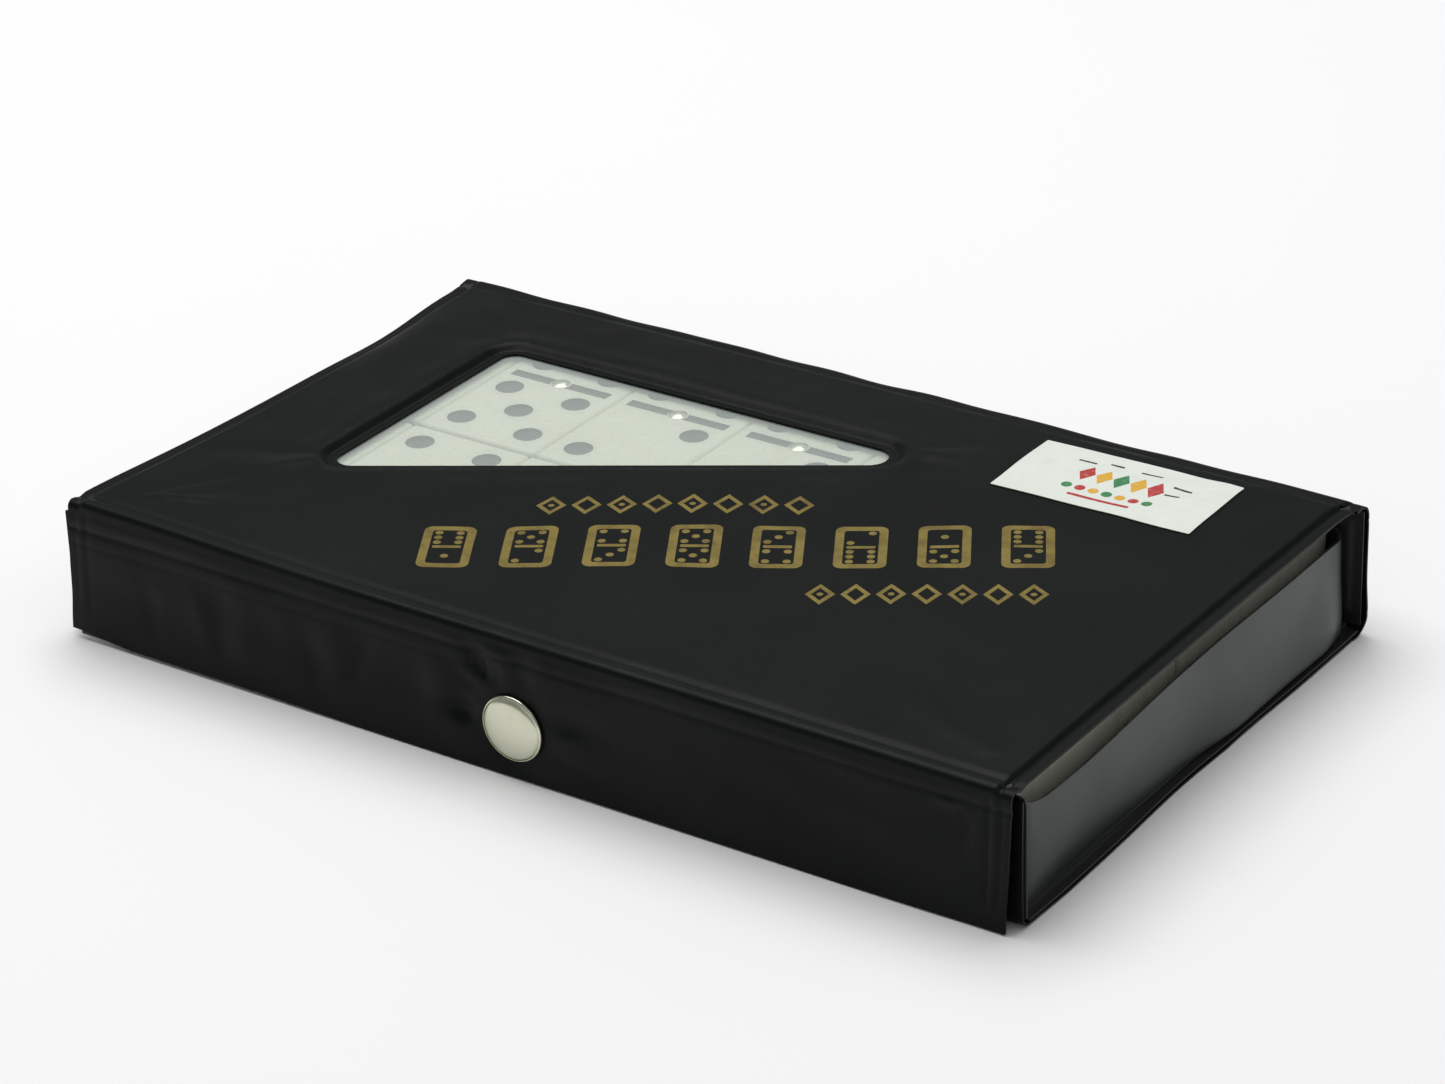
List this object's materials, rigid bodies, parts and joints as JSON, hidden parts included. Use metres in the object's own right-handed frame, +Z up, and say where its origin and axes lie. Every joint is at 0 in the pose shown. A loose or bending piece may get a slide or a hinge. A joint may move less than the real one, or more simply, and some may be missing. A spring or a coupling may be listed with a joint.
{
  "type": "domino set in a vinyl wallet",
  "caption": "Boxed domino set: pipped tiles in two layers inside a soft black wallet with a hinged lid, a window, a hanging flap and a press stud.",
  "frame": {"origin": "centre of the wallet's box, on the table it lies on", "axes": "+X along the wallet, left to right as seen from the press stud; +Y from the press stud to the spine; +Z up out of the lid, the wallet's thickness"},
  "size_m": [0.1844, 0.1136, 0.025],
  "materials": {
    "cover_vinyl": "satin black PVC sheet with a very fine grain, puffed and creased over card",
    "lining_vinyl": "smooth black PVC lining sheet",
    "card_board": "grey-brown stiffening board, sealed between the sheets",
    "tray_vinyl": "dark grey satin PVC sheet, softly bowed",
    "tile_ivory": "ivory white polished resin with rounded edges",
    "pip_paint": "black paint in the sunk pips and bar",
    "pin_metal": "bright nickel-plated brass pin",
    "snap_metal": "bright nickel-plated press stud with fine scratches",
    "window_film": "clear vinyl film, slightly hazy",
    "label_paper": "white semi-gloss paper label with a plain printed pattern",
    "foil_gold": "worn dull gold foil print on the lid"
  },
  "bodies": {
    "base": {"bottom_skin": "cover_vinyl", "bottom_card": "card_board", "bottom_lining": "lining_vinyl", "front_wall_skin": "cover_vinyl", "front_wall_card": "card_board", "front_wall_lining": "lining_vinyl", "tray_floor": "tray_vinyl", "tray_wall_left": "tray_vinyl", "tray_wall_right": "tray_vinyl", "tray_wall_front": "tray_vinyl", "tray_wall_back": "tray_vinyl", "snap_stud": "snap_metal", "snap_washer": "snap_metal", "domino_0_0": "tile_ivory", "domino_0_1": "tile_ivory", "domino_1_1": "tile_ivory", "domino_0_2": "tile_ivory", "domino_1_2": "tile_ivory", "domino_2_2": "tile_ivory", "domino_0_3": "tile_ivory", "domino_1_3": "tile_ivory", "domino_2_3": "tile_ivory", "domino_3_3": "tile_ivory", "domino_0_4": "tile_ivory", "domino_1_4": "tile_ivory", "domino_2_4": "tile_ivory", "domino_3_4": "tile_ivory", "domino_4_4": "tile_ivory", "domino_0_5": "tile_ivory", "domino_1_5": "tile_ivory", "domino_2_5": "tile_ivory", "domino_3_5": "tile_ivory", "domino_4_5": "tile_ivory", "domino_5_5": "tile_ivory", "domino_0_6": "tile_ivory", "domino_1_6": "tile_ivory", "domino_2_6": "tile_ivory", "domino_3_6": "tile_ivory", "domino_4_6": "tile_ivory", "domino_5_6": "tile_ivory", "domino_6_6": "tile_ivory", "spinners_lower_front": "pin_metal", "spinners_lower_back": "pin_metal", "spinners_upper_front": "pin_metal", "spinners_upper_back": "pin_metal"},
    "spine": {"spine_skin": "cover_vinyl", "spine_card": "card_board", "spine_lining": "lining_vinyl"},
    "lid": {"lid_skin": "cover_vinyl", "lid_card": "card_board", "lid_lining": "lining_vinyl", "window_film": "window_film", "paper_label": "label_paper"},
    "flap": {"flap_skin": "cover_vinyl", "flap_lining": "lining_vinyl", "snap_cap": "snap_metal", "snap_socket": "snap_metal"}
  },
  "joints": [
    {"name": "lid_fold", "type": "hinge", "parent": "spine", "child": "lid", "pos_m": [0, 0.0568, 0.0249], "axis": [-1, 0, 0], "range_deg": [0, 90]},
    {"name": "spine_fold", "type": "hinge", "parent": "base", "child": "spine", "pos_m": [0, 0.0568, 0], "axis": [-1, 0, 0], "range_deg": [0, 90]},
    {"name": "flap_fold", "type": "hinge", "parent": "lid", "child": "flap", "pos_m": [0, -0.0552, 0.0249], "axis": [-1, 0, 0], "range_deg": [0, 90]}
  ],
  "couplings": [
    {"joint": "spine_fold", "follows": "lid_fold", "ratio": 1}
  ]
}
